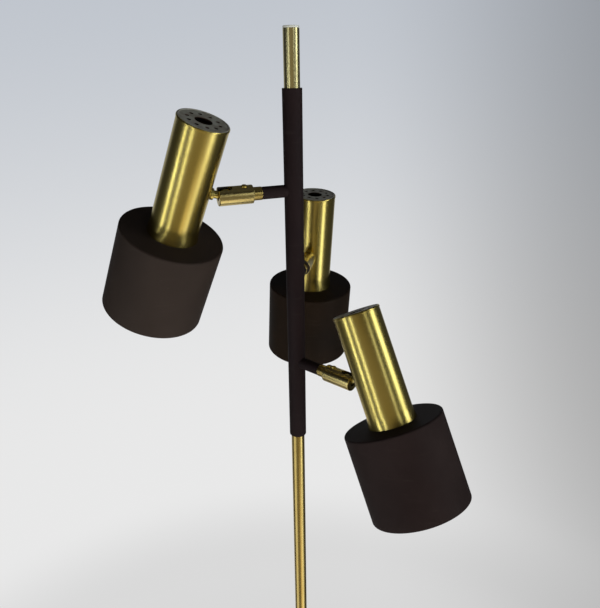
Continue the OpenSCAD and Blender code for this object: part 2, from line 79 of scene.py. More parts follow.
camera = bpy.data.objects.new("camera", bpy.data.cameras.new("camera"))
bpy.context.scene.collection.objects.link(camera)
camera.matrix_world = (
    turn(CAMERA_SIDE, "Z")
    @ Matrix.Translation((0, -CAMERA_AWAY, sleeve_top + CAMERA_UP))
    @ turn(CAMERA_PAN, "Z")
    @ turn(-CAMERA_DOWN, "X")
    @ turn(CAMERA_ROLL, "Y")
    @ turn(math.radians(90), "X")
)
camera.data.sensor_width = SENSOR
camera.data.lens = FOCAL_PX * SENSOR / IMAGE_H
camera.data.shift_x = (IMAGE_W / 2 - CENTRE_X_PX) / IMAGE_H
camera.data.shift_y = (CENTRE_Y_PX - IMAGE_H / 2) / IMAGE_H
camera.data.clip_start = NEAREST_SEEN
bpy.context.scene.camera = camera
bpy.context.scene.view_settings.view_transform = "Standard"

# ---- Studio sweep ----
# A pale paper bowl round the lamp: a flat floor that runs up into a wall in one smooth curve.
# What looks at it or sees it through glass finds a soft grey gradient with painted shade,
# darker toward the right and on the floor near the lamp. What mirrors it finds a painted
# reflection: a glow bright ahead of the camera, dim aside, and dim and warm behind it, with
# painted pools of light on the floor under the lamps. Near the foot it is plain paper that
# takes the lamp's shadow.
SWEEP_R = 3.4
SWEEP_CURVE = 1.2
SWEEP_H = 6.0
SWEEP_STEPS = 96
SWEEP_CURVE_STEPS = 16
SWEEP_WELD = 0.001
PAPER = (0.80, 0.81, 0.82)
PAPER_HIGH = (0.25, 0.25, 0.25)
PAPER_FADE_Z = (1.8, 3.2)
SWEEP_LOW = (0.81, 0.81, 0.81)
SWEEP_HIGH = (0.51, 0.545, 0.60)
SWEEP_FADE_Z = 3.3
# painted shade on the paper: how far right of the pole it begins to darken, where it is darkest,
# and the share it keeps there; then the floor's painted shade: the reach within which it is
# darkest, the reach beyond which it is full, and the share it keeps
SHADE_FROM = 0.3
SHADE_TO = 2.3
SHADE_KEEP = 0.50
FLOOR_SHADE_FROM = 1.75
FLOOR_SHADE_TO = 2.35
FLOOR_SHADE_KEEP = 0.86
FOOT_PAPER_R = 0.2
FAR_PAPER_R = 1.7
NEAR_GLOW = 0.70
# painted reflection: how brightly polished metal finds the paper glowing, as a share of its glow:
# ahead of the camera, aside, and behind it, where the glow is dim and warm
MIRROR_FRONT = 0.75
MIRROR_SIDE = 0.07
MIRROR_BACK = 0.26
WARM_PAINTED_REFLECTION = (1.0, 0.86, 0.62)
# degrees right of the camera's line, how far aside the glow is full, and where it ends
FRONT_GLOW = (-11, 26, 52)
BACK_GLOW = (180, 10, 50)
# painted pools of light on the floor under the lamps, which only mirrored rays find: the same
# three, how far out each reaches, and its share
PAINTED_LIGHT_POOLS = ((-117, 11, 28, 4.0, 1.35), (121, 9, 24, 4.0, 0.9), (143, 16, 30, 2.2, 1.1))
GLOW_FADE = 0.25
FLOOR_GLOW_LOW_Z = 0.05
FLOOR_GLOW_HIGH_Z = 0.55
# painted reflection: the heights over which the mirrored glow fades, and how much of it is lost
MIRROR_FADE_Z = (2.7, 4.0)
MIRROR_TOP_LOSS = 0.85


def bearing(degrees):
    """The level direction that lies so many degrees right of the camera's line."""
    angle = CAMERA_SIDE + math.radians(90 - degrees)
    return Vector((math.cos(angle), math.sin(angle), 0))


class Field:
    """A socket of a material. Arithmetic with it adds Math nodes."""

    def __init__(self, tree, socket):
        self.tree = tree
        self.socket = socket

    def math(self, operation, first, second):
        node = self.tree.nodes.new("ShaderNodeMath")
        node.operation = operation
        for socket, value in zip(node.inputs, (first, second)):
            if isinstance(value, Field):
                self.tree.links.new(value.socket, socket)
            else:
                socket.default_value = value
        return Field(self.tree, node.outputs[0])

    def __add__(self, other):
        return self.math("ADD", self, other)

    def __radd__(self, other):
        return self.math("ADD", other, self)

    def __sub__(self, other):
        return self.math("SUBTRACT", self, other)

    def __rsub__(self, other):
        return self.math("SUBTRACT", other, self)

    def __mul__(self, other):
        return self.math("MULTIPLY", self, other)

    def __rmul__(self, other):
        return self.math("MULTIPLY", other, self)

    def __truediv__(self, other):
        return self.math("DIVIDE", self, other)


class Finish:
    """A material and its nodes."""

    def __init__(self, name):
        self.material = bpy.data.materials.new(name)
        self.material.use_nodes = True
        self.tree = self.material.node_tree
        self.tree.nodes.clear()

    def node(self, kind, settings=None, inputs=None, output=0):
        """Adds a node of a type, with its settings first and then its sockets."""
        node = self.tree.nodes.new("ShaderNode" + kind)
        for key, value in (settings or {}).items():
            setattr(node, key, value)
        for key, value in (inputs or {}).items():
            socket = node.inputs[key]
            if isinstance(value, Field):
                self.tree.links.new(value.socket, socket)
            elif socket.type == "RGBA":
                socket.default_value = (*value, 1)
            else:
                socket.default_value = value
        return Field(self.tree, node.outputs[output])

    def part(self, vector, axis):
        return self.node("SeparateXYZ", inputs={0: vector}, output=axis)

    def between(self, value, low, high):
        """0 below low and 1 over high, with a smooth rise."""
        limits = {"Value": value, "From Min": low, "From Max": high}
        return self.node("MapRange", {"interpolation_type": "SMOOTHSTEP"}, limits)

    def blend(self, amount, first, second):
        """A colour that goes from first to second."""
        return self.node("Mix", {"data_type": "RGBA"}, {0: amount, 6: first, 7: second}, 2)

    def noise(self, where, scale, detail):
        return self.node("TexNoise", inputs={"Vector": where, "Scale": scale, "Detail": detail})

    def done(self, surface):
        output = self.tree.nodes.new("ShaderNodeOutputMaterial")
        self.tree.links.new(surface.socket, output.inputs["Surface"])
        return self.material


def sweep_paper():
    paper = Finish("studio_paper")
    where = paper.node("TexCoord", output="Object")
    height = paper.part(where, 2)
    flat = paper.node("VectorMath", {"operation": "MULTIPLY"}, {0: where, 1: (1, 1, 0)})
    reach = paper.node("VectorMath", {"operation": "LENGTH"}, {0: flat}, "Value")

    def toward(degrees):
        """How far a spot lies in this direction from the pole."""
        return paper.node("VectorMath", {"operation": "DOT_PRODUCT"},
                          {0: where, 1: bearing(degrees)}, "Value")

    def lobe(degrees, full, none):
        """1 within full degrees of a direction, and 0 beyond none degrees."""
        return paper.between(toward(degrees) / reach, math.cos(math.radians(none)),
                             math.cos(math.radians(full)))

    gradient = paper.blend(paper.between(height, 0, SWEEP_FADE_Z), SWEEP_LOW, SWEEP_HIGH)
    # painted shade: the glow darkens toward the right and on the floor near the lamp
    shade = 1 - paper.between(toward(90), SHADE_FROM, SHADE_TO) * (1 - SHADE_KEEP)
    shade = shade * (FLOOR_SHADE_KEEP + paper.between(reach, FLOOR_SHADE_FROM, FLOOR_SHADE_TO) * (1 - FLOOR_SHADE_KEEP))
    # painted reflection: mirrored rays find the glow bright ahead, dim aside, and dim behind
    behind = lobe(*BACK_GLOW)
    mirrored = MIRROR_SIDE + lobe(*FRONT_GLOW) * (MIRROR_FRONT - MIRROR_SIDE) + behind * (
        MIRROR_BACK - MIRROR_SIDE)
    mirrored = mirrored * (1 - paper.between(height, *MIRROR_FADE_Z) * MIRROR_TOP_LOSS)
    # painted pools of light: mirrored rays find the floor glowing brighter under the lamps
    low = 1 - paper.between(height, FLOOR_GLOW_LOW_Z, FLOOR_GLOW_HIGH_Z)
    for degrees, full, none, far, share in PAINTED_LIGHT_POOLS:
        near = paper.between(reach, far + GLOW_FADE, far)
        mirrored = mirrored + low * near * lobe(degrees, full, none) * share
    looked = paper.node("LightPath", output="Is Camera Ray")
    glossy = paper.node("LightPath", output="Is Glossy Ray")
    through = paper.node("LightPath", output="Is Transmission Ray")
    level = shade * (1 - glossy) + glossy * mirrored
    # painted reflection: behind the camera, mirrored rays find the glow tinted warm
    tone = paper.blend(glossy * behind, gradient, WARM_PAINTED_REFLECTION)
    glow = paper.node("Emission", inputs={"Color": tone, "Strength": level})
    plain = paper.node("BsdfDiffuse", inputs={
        "Color": paper.blend(paper.between(height, *PAPER_FADE_Z), PAPER, PAPER_HIGH)})
    away = paper.between(reach, FOOT_PAPER_R, FAR_PAPER_R)
    share = glossy + (looked + through) * (NEAR_GLOW + away * (1 - NEAR_GLOW))
    return paper.done(paper.node("MixShader", inputs={0: share, 1: plain, 2: glow}))


bm = bmesh.new()
corners = [bm.verts.new(place) for place in ((0, 0, 0), (SWEEP_R, 0, 0), (SWEEP_R, 0, SWEEP_H))]
edges = [bm.edges.new(corners[:2]), bm.edges.new(corners[1:])]
bmesh.ops.spin(bm, geom=corners + edges, cent=(0, 0, 0), axis=(0, 0, 1), angle=math.tau,
               steps=SWEEP_STEPS, use_merge=True)
bmesh.ops.remove_doubles(bm, verts=bm.verts, dist=SWEEP_WELD)
bend = [edge for edge in bm.edges
        if all(v.co.z == 0 and v.co.length > SWEEP_R / 2 for v in edge.verts)]
bmesh.ops.bevel(bm, geom=bend, offset=SWEEP_CURVE, offset_type="OFFSET", affect="EDGES",
                segments=SWEEP_CURVE_STEPS, profile=0.5, material=-1)
sweep = bpy.data.objects.new("studio_sweep", bpy.data.meshes.new("studio_sweep"))
bm.to_mesh(sweep.data)
bm.free()
sweep.data.shade_smooth()
sweep.data.materials.append(sweep_paper())
bpy.context.scene.collection.objects.link(sweep)

# ---- Studio lamps ----
# Soft boxes at the left and at the right, most of them tall and narrow and behind the camera,
# which the brass mirrors as streaks, and a broad fill behind the camera for the paint. Little
# light comes from above, so that the tops of the shades stay dark.
DAYLIGHT = (0.94, 1.0, 1.03)
# name, degrees right of the camera's line, distance, width, lowest and highest edge,
# radiance, whether the brass mirrors it
SOFT_BOXES = (
    ("left_box", -116, 3.0, 0.26, 0.7, 2.3, 5.8, True),
    ("left_high_box", -138, 3.0, 0.50, 2.3, 3.2, 1.8, True),
    ("left_back_box", -144, 3.0, 0.26, 0.3, 2.4, 4.4, True),
    ("right_box", 104, 2.4, 0.85, 2.3, 3.7, 3.0, True),
    ("right_back_box", 144, 2.2, 0.26, 2.4, 3.3, 1.7, True),
    ("right_low_box", 122, 2.4, 0.60, 0.1, 2.2, 2.8, True),
    ("front_fill", 165, 2.6, 1.60, 0.6, 2.2, 5.0, False),
)
WORLD_GREY = (0.06, 0.06, 0.063)

for name, degrees, away, width, low, high, radiance, mirrored in SOFT_BOXES:
    light = bpy.data.lights.new(name, "AREA")
    light.shape = "RECTANGLE"
    light.size = width
    light.size_y = high - low
    light.energy = radiance * math.pi * width * (high - low)
    light.color = DAYLIGHT
    lamp = bpy.data.objects.new(name, light)
    bpy.context.scene.collection.objects.link(lamp)
    spot = bearing(degrees) * away + Vector((0, 0, (low + high) / 2))
    lamp.location = spot
    lamp.rotation_euler = bearing(degrees).to_track_quat("Z", "Y").to_euler()
    lamp.visible_camera = False
    lamp.visible_glossy = mirrored

world = bpy.data.worlds.new("studio_world")
world.use_nodes = True
world.node_tree.nodes["Background"].inputs["Color"].default_value = (*WORLD_GREY, 1)
bpy.context.scene.world = world

# ---- Pole ----
# Two brass tubes end to end, drawn and lacquered. The upper one runs up inside the brown
# sleeve, and is drilled for the arms. Their cut ends are broken with a fine edge.
POLE_BRASS = (0.58, 0.44, 0.145)
POLE_OLD = (0.50, 0.35, 0.095)
POLE_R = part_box("lower_pole")[1].x
POLE_WALL = 0.001
TUBE_EDGE = 0.0002
TUBE_STEPS = 64
NIPPLE_HOLE_R = 0.00505
# brass: how rough it is, how closely its tarnish, specks and wiped patches lie to the metre,
# where each begins and is full in its noise, and what each does
BRASS_ROUGH = 0.25
TARNISH_PER_M = 22
TARNISH_FADE = (0.35, 0.75)
TARNISH_SHARE = 0.45
TARNISH_ROUGH = 0.02
SPECK = (0.09, 0.055, 0.02)
SPECKS_PER_M = 900
SPECK_FADE = (0.78, 0.81)
SPECK_CLOUDS = (0.54, 0.66)
SPECK_SHARE = 0.55
SPECK_ROUGH = 0.2
WIPES_PER_M = 60
WIPED_ROUGH = 0.03
BRUSH_PER_M = 6000
BRUSH_ROUND = 2.0
# turned pieces: steps of a fine and of a broad rounded edge, the radius from which an edge is
# broad, how near two spots count as one, and the angle below which faces shade as one
ROUND_STEPS = 3
BROAD_STEPS = 9
BROAD_FROM = 0.001
NEAR = 2e-6
SMOOTH_BELOW = math.radians(40)


def brushed(finish, along_per_m, cells_round):
    """Coordinates that run round a turned piece without a seam, and along its axis."""
    where = finish.node("UVMap", {"uv_map": "wrap"})
    angle = finish.part(where, 0) * math.tau
    return finish.node("CombineXYZ", inputs={
        0: angle.math("COSINE", angle, 0) * cells_round,
        1: angle.math("SINE", angle, 0) * cells_round,
        2: finish.part(where, 1) * along_per_m,
    })


def satin_brass(name, bright, old, rough=BRASS_ROUGH, tilt=0):
    """Lacquered brass with faint tarnish, wiped patches and specks, and with fine brush lines
    round it where tilt says how steep they are."""
    finish = Finish(name)
    where = finish.node("TexCoord", output="Object")
    cloudy = finish.noise(where, TARNISH_PER_M, detail=5)
    fine = finish.noise(where, SPECKS_PER_M, detail=2)
    tarnish = finish.between(cloudy, *TARNISH_FADE)
    specks = finish.between(fine, *SPECK_FADE) * finish.between(cloudy, *SPECK_CLOUDS)
    colour = finish.blend(tarnish * TARNISH_SHARE, bright, old)
    colour = finish.blend(specks * SPECK_SHARE, colour, SPECK)
    wiped = finish.noise(where, WIPES_PER_M, detail=4)
    roughness = rough + (wiped - 0.5) * WIPED_ROUGH + tarnish * TARNISH_ROUGH + (
        specks * SPECK_ROUGH)
    sockets = {"Base Color": colour, "Metallic": 1.0, "Roughness": roughness}
    if tilt:
        lines = finish.noise(brushed(finish, BRUSH_PER_M, BRUSH_ROUND), 1, detail=2)
        leaning = finish.node("CombineXYZ", inputs={
            0: 0.5, 1: 0.5 + (lines - 0.5) * tilt, 2: 1.0})
        sockets["Normal"] = finish.node(
            "NormalMap", {"uv_map": "wrap"}, {"Color": leaning, "Strength": 1.0})
    return finish.done(finish.node("BsdfPrincipled", inputs=sockets))


def turned(outline, rounds, steps=96):
    """A solid turned about +Z from a closed outline of (radius, height) corners. rounds
    holds the edge radius of the corners that aren't sharp, by their number."""
    bm = bmesh.new()
    corners = [bm.verts.new((r, 0, z)) for r, z in outline]
    sides = [bm.edges.new(pair) for pair in zip(corners, corners[1:] + corners[:1])
             if pair[0].co.x + pair[1].co.x > NEAR]
    bmesh.ops.spin(bm, geom=corners + sides, cent=(0, 0, 0), axis=(0, 0, 1), angle=math.tau,
                   steps=steps, use_merge=True)
    bmesh.ops.remove_doubles(bm, verts=bm.verts, dist=NEAR)
    bmesh.ops.recalc_face_normals(bm, faces=bm.faces)
    for corner, radius in rounds.items():
        r, z = outline[corner]
        ring = [edge for edge in bm.edges if all(
            abs(v.co.xy.length - r) < NEAR and abs(v.co.z - z) < NEAR for v in edge.verts)]
        bmesh.ops.bevel(bm, geom=ring, offset=radius, offset_type="OFFSET", affect="EDGES",
                        segments=ROUND_STEPS if radius < BROAD_FROM else BROAD_STEPS,
                        profile=0.5, material=-1)
    return bm


def put(name, bm, place):
    """Makes the piece's object, with its place in its mesh."""
    bmesh.ops.transform(bm, matrix=place, verts=bm.verts)
    piece = bpy.data.objects.new(name, bpy.data.meshes.new(name))
    bm.to_mesh(piece.data)
    bm.free()
    bpy.context.scene.collection.objects.link(piece)
    return piece


def carve(piece, name, bm, place):
    """Cuts the shape out of the piece's mesh."""
    cutter = put(name, bm, place)
    cut = piece.modifiers.new("cut", "BOOLEAN")
    cut.operation = "DIFFERENCE"
    cut.solver = "EXACT"
    cut.object = cutter
    shown = piece.evaluated_get(bpy.context.evaluated_depsgraph_get())
    mesh = bpy.data.meshes.new_from_object(shown)
    piece.modifiers.clear()
    piece.data = mesh
    bpy.data.objects.remove(cutter)


def wrap(piece, place):
    """Lays a UV map round the piece's own axis: U in turns, V in metres along the wall."""
    home = place.inverted()
    mesh = piece.data
    local = [home @ v.co for v in mesh.vertices]
    layer = mesh.uv_layers.new(name="wrap")
    for face in mesh.polygons:
        middle = home @ face.center
        turn_here = math.atan2(middle.y, middle.x)
        for loop in face.loop_indices:
            spot = local[mesh.loops[loop].vertex_index]
            angle = math.atan2(spot.y, spot.x) if spot.xy.length > NEAR else turn_here
            angle += math.tau * round((turn_here - angle) / math.tau)
            layer.data[loop].uv = (angle / math.tau, spot.z - spot.xy.length)


def finish_piece(piece, place, body, slot, nodes, *materials):
    """Gives a turned piece its UV map, smooth shading, materials and body, and hides its CAD
    nodes.
    """
    wrap(piece, place)
    piece.data.shade_smooth()
    piece.data.set_sharp_from_angle(angle=SMOOTH_BELOW)
    for material in materials:
        piece.data.materials.append(material)
    level = piece.modifiers.new("even_normals", "WEIGHTED_NORMAL")
    level.keep_sharp = True
    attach(piece, body)
    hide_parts(*nodes)


def tube_outline(outer, inner, low, high):
    return [(inner, low), (outer, low), (outer, high), (inner, high)]


upright = Matrix.Identity(4)
pole_brass = satin_brass("pole_brass", POLE_BRASS, POLE_OLD)
joints = {joint["name"]: joint for joint in frame["joints"]}
LIGHTS = ("rear", "left", "right")


def arm_place(light):
    """The frame of an arm: Z along the arm from the pole's axis, X up."""
    along = Vector(joints[light + "_turn"]["axis"])
    start = Vector((0, 0, joints[light + "_turn"]["pos_m"][2]))
    return framed(start, Vector((0, 0, 1)), along)


def framed(origin, x_axis, z_axis):
    """A frame at the origin with these X and Z axes."""
    place = Matrix((x_axis, z_axis.cross(x_axis), z_axis)).transposed().to_4x4()
    place.translation = origin
    return place


def round_bar(radius, low, high, steps=48):
    """A closed cylinder on Z, for a cutter."""
    return turned([(0, low), (radius, low), (radius, high), (0, high)], {}, steps)


def drill_for_arms(piece):
    for light in LIGHTS:
        carve(piece, "drill", round_bar(NIPPLE_HOLE_R, 0, 2 * POLE_R), arm_place(light))


for node in ("lower_pole", "upper_pole"):
    low, high = (corner.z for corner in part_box(node))
    tube = turned(tube_outline(POLE_R, POLE_R - POLE_WALL, low, high),
                  {1: TUBE_EDGE, 2: TUBE_EDGE}, TUBE_STEPS)
    piece = put(node + "_tube", tube, upright)
    if node == "upper_pole":
        drill_for_arms(piece)
    finish_piece(piece, upright, "root", "satin_brass", [node], pole_brass)

# ---- Foot ----
# A moulded black rubber cup that the pole stands in on a steel disc, and the rubber grommet
# of the cord's outlet. The grommet keeps its constructed shape.
FOOT_BASE_H = 0.007
FOOT_STEP = 0.001
FOOT_TOP_R = 0.013
FOOT_FIT = 0.00005
FOOT_EDGE = 0.001
FOOT_STEP_EDGE = 0.0008
FOOT_TOP_EDGE = 0.0015
FOOT_MOUTH_EDGE = 0.0006
RUBBER = (0.028, 0.027, 0.026)
RUBBER_WORN = (0.060, 0.056, 0.052)
RUBBER_ROUGH = 0.62
RUBBER_WORN_ROUGH = 0.15
RUBBER_PATCHES_PER_M = 40
RUBBER_PATCH_FADE = (0.40, 0.75)
RUBBER_GRAIN_PER_M = 2500
RUBBER_GRAIN_DEEP = 0.00006
RUBBER_GRAIN_SHARE = 0.3


def rubber_finish():
    """Matt rubber, greyed and dusty in patches, with a fine moulded grain."""
    finish = Finish("black_rubber")
    where = finish.node("TexCoord", output="Object")
    patches = finish.noise(where, RUBBER_PATCHES_PER_M, detail=4)
    patches = finish.between(patches, *RUBBER_PATCH_FADE)
    grain = finish.noise(where, RUBBER_GRAIN_PER_M, detail=2)
    bump = finish.node("Bump", inputs={
        "Height": grain, "Strength": RUBBER_GRAIN_SHARE, "Distance": RUBBER_GRAIN_DEEP})
    return finish.done(finish.node("BsdfPrincipled", inputs={
        "Base Color": finish.blend(patches, RUBBER, RUBBER_WORN),
        "Roughness": RUBBER_ROUGH + patches * RUBBER_WORN_ROUGH,
        "Normal": bump,
    }))


black_rubber = rubber_finish()
foot_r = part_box("floor_foot")[1].x
foot_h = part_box("floor_foot")[1].z
foot_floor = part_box("foot_plate")[0].z
foot = turned([
    (0, 0), (foot_r, 0), (foot_r, FOOT_BASE_H), (foot_r - FOOT_STEP, FOOT_BASE_H),
    (FOOT_TOP_R, foot_h), (POLE_R + FOOT_FIT, foot_h), (POLE_R + FOOT_FIT, foot_floor),
    (0, foot_floor),
], {1: FOOT_EDGE, 2: FOOT_STEP_EDGE, 4: FOOT_TOP_EDGE, 5: FOOT_MOUTH_EDGE})
piece = put("rubber_foot", foot, upright)
finish_piece(piece, upright, "root", "rubber", ["floor_foot"], black_rubber)

# ---- Sleeve ----
# A straight steel tube over the pole, drilled for the arms and painted matt brown inside and
# out. Its edges are broken, and the paint is a little redder than on the shades.
SLEEVE_WALL = 0.001
SLEEVE_BROWN = (0.0140, 0.0078, 0.0080)
SLEEVE_WORN = (0.0175, 0.0098, 0.0098)
SLEEVE_DUSTY = 0.10
# paint: its gloss, how closely its clouds, rubbed patches, dust and grain lie to the metre,
# where each begins and is full in its noise, and what each does
PAINT_ROUGH = 0.66
PAINT_GLOSS = 0.13
CLOUDS_PER_M = 16
CLOUD_FADE = (0.30, 0.70)
CLOUD_ROUGH = 0.08
RUBS_PER_M = 28
RUB_LEAN = (0.5, 0.3, 0.2)
RUB_STRETCH = (1, 1, 7)
RUB_FADE = (0.58, 0.80)
RUB_SHARE = 0.06
RUB_ROUGH = 0.10
DUST = (0.16, 0.14, 0.12)
DUST_PER_M = 520
DUST_FADE = (0.70, 0.80)
PAINT_GRAIN_PER_M = 3200
PAINT_GRAIN_DEEP = 0.00004
PAINT_GRAIN_SHARE = 0.25


def brown_paint(name, colour, worn, dusty):
    """Sprayed satin paint: cloudy, finely grained, with rubbed patches and specks of dust."""
    finish = Finish(name)
    where = finish.node("TexCoord", output="Object")
    clouds = finish.between(finish.noise(where, CLOUDS_PER_M, detail=6), *CLOUD_FADE)
    stretched = finish.node("Mapping", inputs={
        "Vector": where, "Rotation": RUB_LEAN, "Scale": RUB_STRETCH})
    rubbed = finish.between(finish.noise(stretched, RUBS_PER_M, detail=6), *RUB_FADE)
    dust = finish.between(finish.noise(where, DUST_PER_M, detail=3), *DUST_FADE)
    grain = finish.noise(where, PAINT_GRAIN_PER_M, detail=2)
    shade = finish.blend(clouds, colour, worn)
    shade = finish.blend(rubbed * RUB_SHARE + dust * dusty, shade, DUST)
    bump = finish.node("Bump", inputs={
        "Height": grain, "Strength": PAINT_GRAIN_SHARE, "Distance": PAINT_GRAIN_DEEP})
    return finish.done(finish.node("BsdfPrincipled", inputs={
        "Base Color": shade,
        "Roughness": PAINT_ROUGH + clouds * CLOUD_ROUGH + rubbed * RUB_ROUGH,
        "Specular IOR Level": PAINT_GLOSS,
        "Normal": bump,
    }))


sleeve_paint = brown_paint("sleeve_paint", SLEEVE_BROWN, SLEEVE_WORN, SLEEVE_DUSTY)
low, high = (corner.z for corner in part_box("sleeve"))
sleeve_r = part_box("sleeve")[1].x
tube = turned(tube_outline(sleeve_r, sleeve_r - SLEEVE_WALL, low, high),
              {1: TUBE_EDGE, 2: TUBE_EDGE}, TUBE_STEPS)
piece = put("sleeve_tube", tube, upright)
drill_for_arms(piece)
finish_piece(piece, upright, "root", "brown_paint", ["sleeve"], sleeve_paint)

# ---- Plunger ----
# The short brass tube that slides in the sleeve's top, and the pale plug pressed into it,
# which meets the ceiling.
TIP_PLUG_R = 0.00695
TIP_ROUND = 0.0006
STUB_BRASS = (0.66, 0.58, 0.29)
STUB_OLD = (0.56, 0.47, 0.20)
PALE = (0.80, 0.78, 0.70)
PALE_OLD = (0.70, 0.66, 0.54)
OLD_FADE = (0.35, 0.70)
OLD_ROUGH = 0.06
FINE_GRAIN_PER_M = 1800
FINE_GRAIN_ROUGH = 0.08


def plain_finish(name, colour, old, rough, per_m=60, metallic=0.0, coat=0.0):
    """A smooth moulded, turned or glazed surface with a cloudy change of tone, of so many
    clouds to the metre."""
    finish = Finish(name)
    where = finish.node("TexCoord", output="Object")
    clouds = finish.between(finish.noise(where, per_m, detail=5), *OLD_FADE)
    grain = finish.noise(where, FINE_GRAIN_PER_M, detail=3)
    return finish.done(finish.node("BsdfPrincipled", inputs={
        "Base Color": finish.blend(clouds, colour, old),
        "Metallic": metallic,
        "Roughness": rough + clouds * OLD_ROUGH + (grain - 0.5) * FINE_GRAIN_ROUGH,
        "Coat Weight": coat,
    }))


pale_plastic = plain_finish("pale_plastic", PALE, PALE_OLD, rough=0.38)
stub_brass = satin_brass("stub_brass", STUB_BRASS, STUB_OLD)
low, high = (corner.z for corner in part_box("plunger_tube"))
tube = turned(tube_outline(POLE_R, POLE_R - POLE_WALL, low, high),
              {1: TUBE_EDGE, 2: TUBE_EDGE}, TUBE_STEPS)
piece = put("plunger_stub", tube, upright)
finish_piece(piece, upright, "plunger", "satin_brass", ["plunger_tube"], stub_brass)
plug_low, tip_top = (corner.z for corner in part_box("ceiling_tip"))
tip = turned([(0, plug_low), (TIP_PLUG_R, plug_low), (TIP_PLUG_R, high), (POLE_R, high),
              (POLE_R, tip_top), (0, tip_top)], {4: TIP_ROUND}, TUBE_STEPS)
piece = put("tip_plug", tip, upright)
finish_piece(piece, upright, "plunger", "pale_plastic", ["ceiling_tip"], pale_plastic)

# ---- Plunger spring ----
# A compression spring inside the sleeve, coiled from one round zinc-plated wire. It stands on
# its seat and pushes the plunger up.
SPRING_TURNS = 15
SPRING_WIRE_R = 0.0007
SPRING_WIRE_SIDES = 12
SPRING_STEPS = 32
ZINC = (0.50, 0.50, 0.50)
ZINC_OLD = (0.33, 0.30, 0.27)

zinc_steel = plain_finish("zinc_steel", ZINC, ZINC_OLD, rough=0.34, per_m=150, metallic=1.0)
low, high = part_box("plunger_spring")
free_len = high.z - low.z
steps = SPRING_TURNS * SPRING_STEPS
wire_end = Matrix.Translation((high.x - SPRING_WIRE_R, 0, low.z + SPRING_WIRE_R))
bm = bmesh.new()
bmesh.ops.create_circle(bm, cap_ends=True, segments=SPRING_WIRE_SIDES, radius=SPRING_WIRE_R,
                        matrix=wire_end @ turn(math.radians(90), "X"))
bmesh.ops.spin(bm, geom=bm.verts[:] + bm.edges[:] + bm.faces[:], cent=(0, 0, 0),
               axis=(0, 0, 1), dvec=(0, 0, (free_len - 2 * SPRING_WIRE_R) / steps),
               angle=math.tau * SPRING_TURNS, steps=steps)
bmesh.ops.recalc_face_normals(bm, faces=bm.faces)
piece = put("coiled_spring", bm, upright)
finish_piece(piece, upright, "root", "steel", ["plunger_spring"], zinc_steel)
travel = -joints["plunger_slide"]["range_m"][0]
1 - travel / free_len
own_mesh(piece)

# ---- Arms and ferrules ----
# Short painted tubes, notched to the sleeve's round, each clamped by its hollow nipple. A
# turned brass ferrule closes the outer end.
ARM_EDGE = 0.0003
FERRULE_EDGE = 0.0006
SADDLE_GAP = 0.00005
SADDLE_STEPS = 96


def reach(node, place):
    """The lowest and the highest corner of a CAD node in a piece's own frame."""
    home = place.inverted()
    spots = [home @ v.co for v in frame["nodes"][node].data.vertices]
    return Vector(map(min, zip(*spots))), Vector(map(max, zip(*spots)))


for light in LIGHTS:
    place = arm_place(light)
    low, high = reach(light + "_arm", place)
    arm = turned(tube_outline(high.y, NIPPLE_HOLE_R, 0, high.z), {2: ARM_EDGE}, TUBE_STEPS)
    piece = put(light + "_arm_tube", arm, place)
    carve(piece, "saddle", round_bar(sleeve_r + SADDLE_GAP, -high.x, high.x, SADDLE_STEPS),
          Matrix.Translation(place.translation))
    finish_piece(piece, place, "root", "brown_paint", [light + "_arm"], sleeve_paint)
    low, high = reach(light + "_ferrule", place)
    ring = turned(tube_outline(high.x, NIPPLE_HOLE_R, low.z, high.z),
                  {1: FERRULE_EDGE, 2: FERRULE_EDGE}, TUBE_STEPS)
    piece = put(light + "_ferrule_ring", ring, place)
    finish_piece(piece, place, "root", "satin_brass", [light + "_ferrule"], pole_brass)

# ---- Swivel barrels ----
# Turned brass barrels that grip the stem's ball. A slot, milled from the front end through
# the upper side, lets the stem tilt up. Both ends have a broad chamfer. Inside, the cavity is
# near black instead of brass: painted shade.
BARREL_CHAMFER = 0.0008
BORE_R = 0.00508
CAVITY_R = 0.0077
CAVITY_BACK = -0.012
SLOT_R = 0.0043
SLOT_BACK = 0.0025
LIP = 0.0013
SCREW_IN = 0.009
SCREW_HOLE_R = 0.00205
SCREW_SEAT_R = 0.00285
SCREW_SEAT_X = 0.00908
SLOT_EDGE = 0.00012
SLOT_EDGE_FROM = math.radians(45)
SLOT_STEPS = 32
BARREL_BRASS = (0.66, 0.53, 0.215)
BARREL_OLD = (0.53, 0.41, 0.145)
# painted shade: a near-black finish for the faces inside each barrel
CAVITY_PAINTED_SHADE = (0.030, 0.022, 0.018)
CAVITY_PAINTED_SHADE_DEEP = (0.012, 0.010, 0.008)


def swivel_place(light):
    """The frame of a swivel at its ball: Z along the arm, X up through the slot."""
    tilt = joints[light + "_tilt"]
    along = Vector(joints[light + "_turn"]["axis"])
    return framed(Vector(tilt["pos_m"]), Vector(tilt["axis"]).cross(along), along)


def slot_cutter(front):
    """An upright block with one round end, drawn out past the barrel's front."""
    bm = bmesh.new()
    bmesh.ops.create_circle(bm, cap_ends=True, segments=SLOT_STEPS, radius=SLOT_R)
    for vert in bm.verts:
        if vert.co.x < -NEAR:
            vert.co.x -= front + SLOT_BACK
    grown = bmesh.ops.extrude_face_region(bm, geom=bm.faces[:])["geom"]
    top = [part for part in grown if isinstance(part, bmesh.types.BMVert)]
    bmesh.ops.translate(bm, verts=top, vec=(0, 0, 2 * CAVITY_R))
    bmesh.ops.recalc_face_normals(bm, faces=bm.faces)
    return bm


